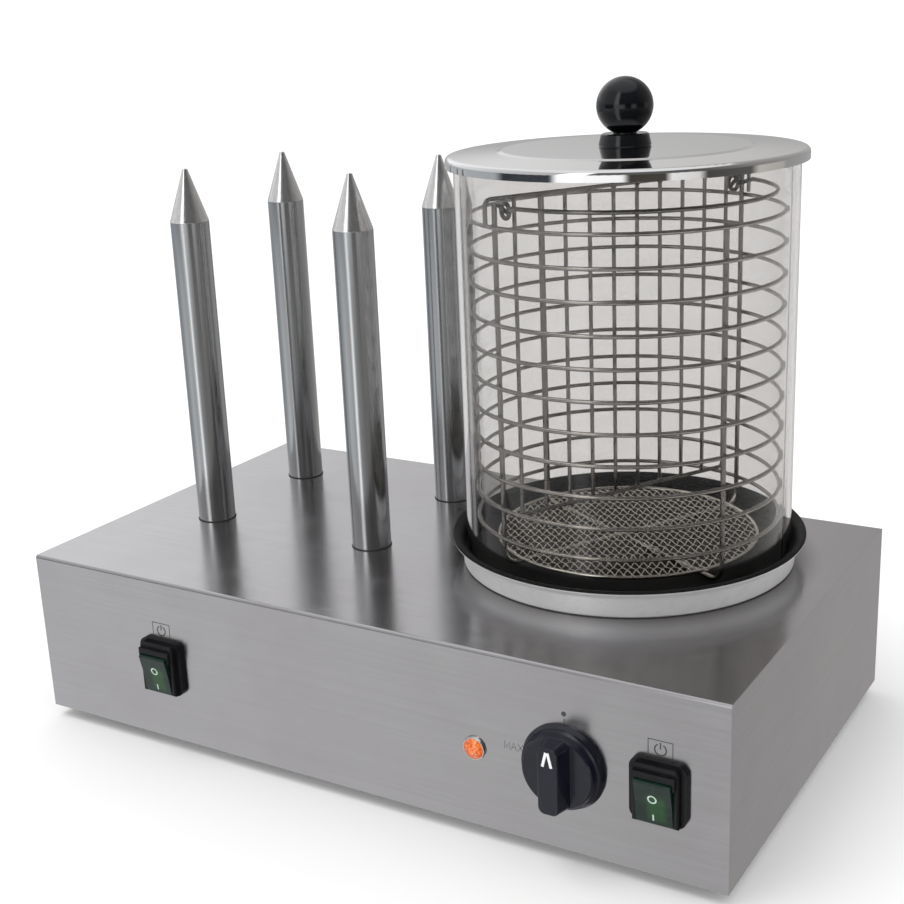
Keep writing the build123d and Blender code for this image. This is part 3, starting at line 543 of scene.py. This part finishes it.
def ribbon(bm, spot, points, width=INK_LINE, closed=False):
    """A flat printed stroke of one width along 2-D points, as thick as the ink."""
    count = len(points)
    left = []
    right = []
    for index in range(count):
        before = points[(index - 1) % count] if closed or index else points[index]
        after = points[(index + 1) % count] if closed or index < count - 1 else points[index]
        one = Vector(points[index]) - Vector(before)
        two = Vector(after) - Vector(points[index])
        one = one.normalized() if one.length else two.normalized()
        two = two.normalized() if two.length else one
        normal = Vector((-(one + two).y, (one + two).x)).normalized()
        reach = width / 2 / max(0.5, normal.dot(Vector((-one.y, one.x))))
        left.append(Vector(points[index]) + normal * reach)
        right.append(Vector(points[index]) - normal * reach)
    layers = []
    for height in (0.0, INK_T):
        lifted = [[spot @ Vector((p.x, p.y, height)) for p in side] for side in (left, right)]
        layers.append([[bm.verts.new(place) for place in side] for side in lifted])
    (low_l, low_r), (high_l, high_r) = layers
    for index in range(count if closed else count - 1):
        after = (index + 1) % count
        bm.faces.new((high_l[index], high_r[index], high_r[after], high_l[after]))
        bm.faces.new((low_l[index], low_l[after], low_r[after], low_r[index]))
        bm.faces.new((low_l[index], high_l[index], high_l[after], low_l[after]))
        bm.faces.new((low_r[index], low_r[after], high_r[after], high_r[index]))
    if not closed:
        for index in (0, count - 1):
            bm.faces.new((low_l[index], low_r[index], high_r[index], high_l[index]))


def arc(x, y, radius, start, end, steps=28):
    """2-D points round a middle, from one angle to another in degrees."""
    turns = [radians(start + (end - start) * n / steps) for n in range(steps + 1)]
    return [(x + radius * cos(t), y + radius * sin(t)) for t in turns]


def panel_spot(x, z, out=0.0):
    """Local frame on the front panel: +X right, +Y up, +Z out of the panel."""
    turn = Matrix(((1, 0, 0, 0), (0, 0, -1, 0), (0, 1, 0, 0), (0, 0, 0, 1)))
    return Matrix.Translation((x, PANEL_Y - out, z)) @ turn


def power_mark(side, material):
    """Outlined field with a power symbol, over a switch."""
    half = 6.8 * MM
    top = 11.0 * MM
    bold = 0.75 * MM
    bezel_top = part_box(f"switch_bezel_{side}")[1].z
    spot = panel_spot(middle(f"switch_bezel_{side}").x + 0.3 * MM, bezel_top - 0.8 * MM)
    bm = bmesh.new()
    ribbon(bm, spot, [(-half, 0), (-half, top), (half, top), (half, 0)])
    ribbon(bm, spot, arc(0, 5.9 * MM, 3.2 * MM, 118, 422), bold)
    ribbon(bm, spot, [(0, 6.2 * MM), (0, 9.9 * MM)], bold)
    return new_piece(f"power_mark_{side}", bm, "housing", material, False)


def dial_marks(material):
    """Off dot over the dial, and its index line."""
    dot_middle = 0.72 * MM
    ring_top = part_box("dial_ring")[1].z
    dot = panel_spot(KNOB.x + 0.4 * MM, ring_top + 6.2 * MM)
    line = panel_spot(KNOB.x + 0.6 * MM, ring_top)
    bm = bmesh.new()
    ribbon(bm, dot, arc(0, 0, dot_middle, 0, 345, 23), 2 * dot_middle, closed=True)
    ribbon(bm, line, [(0, -0.6 * MM), (0, 3.6 * MM)], 0.42 * MM)
    return new_piece("dial_marks", bm, "housing", material, False)


def hot_word(material):
    """The letters M, A and X in thin strokes, left of the dial."""
    high = 4.6 * MM
    wide = 3.3 * MM
    pitch = 4.1 * MM
    strokes = (
        (0, ((0.0, 0.0), (0.0, 1.0), (0.5, 0.25), (1.0, 1.0), (1.0, 0.0))),
        (1, ((0.0, 0.0), (0.5, 1.0), (1.0, 0.0))),
        (1, ((0.2, 0.38), (0.8, 0.38))),
        (2, ((0.0, 0.0), (1.0, 1.0))),
        (2, ((0.0, 1.0), (1.0, 0.0))),
    )
    spot = panel_spot(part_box("dial_ring")[0].x - 11.3 * MM, KNOB.z + 1.8 * MM)
    bm = bmesh.new()
    for letter, stroke in strokes:
        ribbon(bm, spot, [(x * wide + letter * pitch, y * high) for x, y in stroke])
    return new_piece("hot_word", bm, "housing", material, False)


def rocker_marks(side, material):
    """O and I marks, printed on the two halves of a rocker's dished face."""
    pivot = HINGES[f"{side}_rocker_press"]
    tilt = radians(10.0)
    dish = 0.6 * MM
    half_height = 13.2 * MM
    slope = atan(dish / half_height)
    face = 2.2 * MM
    stroke = 0.85 * MM
    centre = panel_spot(pivot.x - 0.4 * MM, pivot.z, PANEL_Y - pivot.y)
    centre = centre @ Matrix.Rotation(tilt, 4, "X") @ Matrix.Translation((0, 0, face))
    upper = centre @ Matrix.Rotation(slope, 4, "X")
    lower = centre @ Matrix.Rotation(-slope, 4, "X")
    bm = bmesh.new()
    ribbon(bm, upper, arc(0, 3.0 * MM, 2.2 * MM, 0, 345, 23), stroke, closed=True)
    ribbon(bm, lower, [(0, -6.6 * MM), (0, -10.2 * MM)], stroke)
    return new_piece(f"rocker_marks_{side}", bm, f"{side}_rocker", material, False)


# ================ finishes on the CAD nodes ================

def finish_nodes():
    """Gives each CAD node its material."""
    steel = brushed_sheet("brushed_deck", 0, 0.44)
    end_steel = brushed_sheet("brushed_ends", 1, 0.44)
    tube = drawn_tube()
    tip = turned_tip()
    wire = polished_wire()
    # Painted light: the rings' wire is the same wire as the posts and bars, made lighter for the light that
    # falls on horizontal wire.
    ring = polished_wire("ring_wire", 0.40)
    black = moulded("satin_black", (0.004, 0.004, 0.005, 1), (0.009, 0.009, 0.011, 1), 0.30, 0.42,
                    rub=0.02, Specular_IOR_Level=0.25)
    knob_black = moulded("knob_black", (0.004, 0.005, 0.010, 1), (0.009, 0.010, 0.019, 1), 0.15, 0.22,
                         spark=900.0, depth=0.006 * MM, rub=0.03, Specular_IOR_Level=0.45)
    seal = moulded("seal_rubber", (0.010, 0.010, 0.010, 1), (0.022, 0.021, 0.020, 1), 0.55, 0.75)
    foot = moulded("foot_rubber", (0.012, 0.012, 0.012, 1), (0.028, 0.027, 0.026, 1), 0.60, 0.80,
                   spark=900.0, depth=0.1 * MM)
    block = moulded("block_plastic", (0.58, 0.55, 0.48, 1), (0.68, 0.65, 0.58, 1), 0.40, 0.55)
    screw = plated("zinc_plate", grey(0.50), grey(0.66))
    nut = plated("nickel_plate", grey(0.56, 0.03), grey(0.70, 0.02), 0.14, 0.28)
    base = plated("galvanised", grey(0.44), grey(0.60), 0.32, 0.48)
    cast = plated("cast_aluminium", grey(0.50), grey(0.66), 0.38, 0.52)
    element = plated("element_sheath", (0.16, 0.13, 0.11, 1), (0.30, 0.24, 0.20, 1), 0.35, 0.50)
    copper = plated("copper_tube", (0.68, 0.34, 0.20, 1), (0.86, 0.48, 0.32, 1), 0.20, 0.36)
    phenol = phenolic()
    pairs = {
        "deck_shell": steel, "side_panel_left": end_steel, "side_panel_right": end_steel,
        "base_plate": base, "rubber_feet": foot, "foot_screws": screw, "base_screws": screw,
        "hot_plate": cast, "heating_element": element, "clamp_bar": base, "clamp_nut": nut,
        "water_pan": pan_finish(), "glass_cylinder": clear_glass(), "lid_plate": mirror_lid(),
        "lid_collar": phenol, "lid_ball": phenol, "lid_screw": screw,
        "basket_rings": ring, "basket_main_upright": wire, "basket_cross_upright": wire,
        "basket_mesh_rim": wire, "handle_pins": wire, "basket_handle": wire,
        "divider_frame": wire, "divider_bars": wire, "switch_terminals": nut,
        "lamp_bezel": nut, "lamp_lens": amber_lens(), "dial_ring": knob_black,
        "thermostat_knob": knob_black, "thermostat_shaft": nut, "thermostat_body": block,
        "knob_pointer": printed("arrow_white", (0.80, 0.80, 0.82, 1), (0.92, 0.92, 0.92, 1)),
        "thermostat_screws": screw, "thermostat_bulb": copper, "capillary_tube": copper,
        "terminal_block": block, "gland_body": black, "gland_dome": black, "gland_locknut": nut,
        "spike_seals": seal, "spike_nuts": nut,
    }
    for row in ("front", "rear"):
        for side in ("left", "right"):
            pairs[f"spike_tube_{row}_{side}"] = tube
            pairs[f"spike_tip_{row}_{side}"] = tip
            pairs[f"spike_heater_{row}_{side}"] = element
    for side in ("left", "right"):
        pairs[f"switch_bezel_{side}"] = black
        pairs[f"rocker_{side}"] = rocker_green(side)
    for name, material in pairs.items():
        for slot in frame["nodes"][name].material_slots:
            slot.material = material


def add_pieces():
    """The pieces that CAD leaves out: woven wire, welds and printed marks."""
    wire = bpy.data.materials["polished_wire"]
    # Painted light: the woven floor's wire is the same wire as the posts, made far lighter for the light it
    # catches.
    cloth = polished_wire("cloth_wire", 0.86)
    woven_floor(cloth)
    weld_beads(wire)
    divider_beads(wire)
    ink = printed("panel_ink", (0.035, 0.034, 0.036, 1), (0.075, 0.072, 0.075, 1))
    faint = printed("faint_ink", (0.13, 0.125, 0.13, 1), (0.20, 0.19, 0.20, 1))
    pale = printed("switch_ink", (0.42, 0.56, 0.48, 1), (0.58, 0.70, 0.62, 1))
    for side in ("left", "right"):
        power_mark(side, ink)
        rocker_marks(side, pale)
    dial_marks(ink)
    hot_word(faint)


# ================ studio ================

def add_camera():
    lens = bpy.data.cameras.new("main_camera")
    lens.lens = CAMERA_LENS
    lens.sensor_width = 36.0
    lens.clip_start = 0.05
    camera = bpy.data.objects.new("main_camera", lens)
    level = Vector((cos(CAMERA_YAW), sin(CAMERA_YAW), 0))
    forward = Vector((-sin(CAMERA_YAW), cos(CAMERA_YAW), 0))
    ahead = cos(CAMERA_PITCH) * forward + sin(CAMERA_PITCH) * Vector((0, 0, 1))
    upright = level.cross(ahead)
    right = cos(CAMERA_ROLL) * level + sin(CAMERA_ROLL) * upright
    up = -sin(CAMERA_ROLL) * level + cos(CAMERA_ROLL) * upright
    turn = Matrix((right, up, -ahead)).transposed().to_4x4()
    camera.matrix_world = Matrix.Translation(CAMERA_PLACE) @ turn
    bpy.context.scene.collection.objects.link(camera)
    bpy.context.scene.camera = camera


def add_floor(material):
    """Floor that takes the shadow but isn't mirrored in the steel."""
    side = 12.0
    bm = bmesh.new()
    bmesh.ops.create_grid(bm, x_segments=4, y_segments=4, size=side)
    mesh = bpy.data.meshes.new("floor")
    bm.to_mesh(mesh)
    bm.free()
    floor = bpy.data.objects.new("floor", mesh)
    mesh.materials.append(material)
    bpy.context.scene.collection.objects.link(floor)
    floor.visible_glossy = False


# Brightness and warmth of the room by bearing, in degrees anticlockwise from the camera's side:
# what surfaces see below eye level, near it and above it.
FLOOR_ROOM = (
    (-180, 0.60, 0.0), (-150, 0.50, -0.02), (-122, 0.42, -0.06), (-100, 0.62, -0.04), (-84, 0.92, -0.01),
    (-63, 0.80, 0.0), (-50, 0.62, 0.0), (-44, 1.0, 0.0), (-41, 2.2, 0.0), (-35, 2.2, 0.0),
    (-31, 0.55, 0.0), (-15, 0.34, 0.02), (18, 0.28, 0.04), (58, 0.22, 0.05), (90, 0.30, 0.04),
    (125, 0.45, 0.02), (180, 0.60, 0.0),
)
LOW_ROOM = (
    (-180, 0.45, 0.0), (-130, 0.55, -0.04), (-95, 0.50, -0.05), (-88, 0.05, -0.15), (-54, 0.06, -0.15),
    (-49, 1.5, 0.0), (-9, 1.3, 0.0), (-5, 0.06, 0.15), (17, 0.07, 0.12), (21, 1.1, 0.0),
    (38, 0.9, 0.02), (43, 0.08, 0.05), (75, 0.12, 0.05), (81, 0.60, 0.05), (104, 0.50, 0.05),
    (108, 0.38, 0.0), (180, 0.45, 0.0),
)
WALLS = (
    (-180, 0.84, 0.0), (-163, 1.18, -0.01), (-130, 0.9, -0.01), (-90, 0.7, 0.0), (-52, 0.6, 0.0),
    (-46, 2.2, 0.0), (-34, 2.2, 0.0), (-28, 0.15, 0.0), (45, 0.12, 0.02), (90, 0.30, 0.03),
    (140, 0.40, 0.03), (163, 0.52, 0.02), (180, 0.84, 0.0),
)
CEILING = (1.0, 1.0, 1.02, 1)
# Elevations between which each layer of the room fades into the next, in degrees.
FLOOR_FADE = (-7.9, -7.0)
WALL_FADE = (2, 10)
CEILING_FADE = (48, 62)
BACKDROP = 1.05


def add_world():
    """Pale room: plain white to the camera and matt surfaces, lighter and darker in reflections."""
    world = bpy.data.worlds.new("studio")
    world.use_nodes = True
    bpy.context.scene.world = world
    tree = world.node_tree
    tree.nodes.clear()

    def node(kind, feeds=(), **settings):
        return make_node(tree, kind, feeds, **settings)

    def maths(operation, first, second=0.0):
        return node("Math", [(0, first), (1, second)], operation=operation).outputs[0]

    def ramp(stops):
        """One layer's light by bearing; the ramp holds shares of its brightest stop."""
        made = node("ValToRGB", [(0, position)])
        elements = made.color_ramp.elements
        top = max(level for bearing, level, warm in stops)
        for index, (bearing, level, warm) in enumerate(stops):
            share = (bearing + 180) / 360
            element = elements[index] if index < 2 else elements.new(share)
            element.position = share
            element.color = grey(level / top, warm)
        feeds = [(0, made.outputs[0]), (1, (top, top, top))]
        return node("VectorMath", feeds, operation="MULTIPLY").outputs[0]

    ray = node("SeparateXYZ", [(0, node("TexCoord").outputs["Generated"])])
    heading = maths("ARCTAN2", ray.outputs[1], ray.outputs[0])
    turns = maths("DIVIDE", maths("SUBTRACT", heading, CAMERA_AZIMUTH), 2 * pi)
    position = maths("FRACT", maths("ADD", turns, 0.5))

    def above(fade, lower, upper):
        start, end = (sin(radians(angle)) for angle in fade)
        feeds = [("Value", ray.outputs[2]), ("From Min", start), ("From Max", end)]
        factor = node("MapRange", feeds, interpolation_type="SMOOTHSTEP").outputs[0]
        return node("Mix", [(0, factor), (6, lower), (7, upper)], data_type="RGBA").outputs[2]

    room = above(FLOOR_FADE, ramp(FLOOR_ROOM), ramp(LOW_ROOM))
    room = above(WALL_FADE, room, ramp(WALLS))
    room = above(CEILING_FADE, room, CEILING)
    room_light = node("Background", [("Color", room), ("Strength", 1.0)]).outputs[0]
    white = node("Background", [("Color", (1, 1, 1, 1)), ("Strength", BACKDROP)]).outputs[0]
    path = node("LightPath")
    plain = maths("MAXIMUM", path.outputs["Is Camera Ray"], path.outputs["Is Diffuse Ray"])
    both = node("MixShader", [(0, plain), (1, room_light), (2, white)]).outputs[0]
    node("OutputWorld", [("Surface", both)])


def add_lights():
    """One wide soft light from above, unseen in reflections."""
    lamp = bpy.data.lights.new("soft_key", "SUN")
    lamp.energy = 0.9
    lamp.angle = radians(38.0)
    lamp.color = (1.0, 0.99, 0.98)
    key = bpy.data.objects.new("soft_key", lamp)
    aim = Vector((0.35, 0.30, -1.0))
    key.rotation_euler = aim.to_track_quat("-Z", "Y").to_euler()
    key.visible_glossy = False
    bpy.context.scene.collection.objects.link(key)


finish_nodes()
add_pieces()
add_camera()
add_floor(floor_finish())
add_world()
add_lights()
bpy.context.scene.view_settings.view_transform = "Standard"
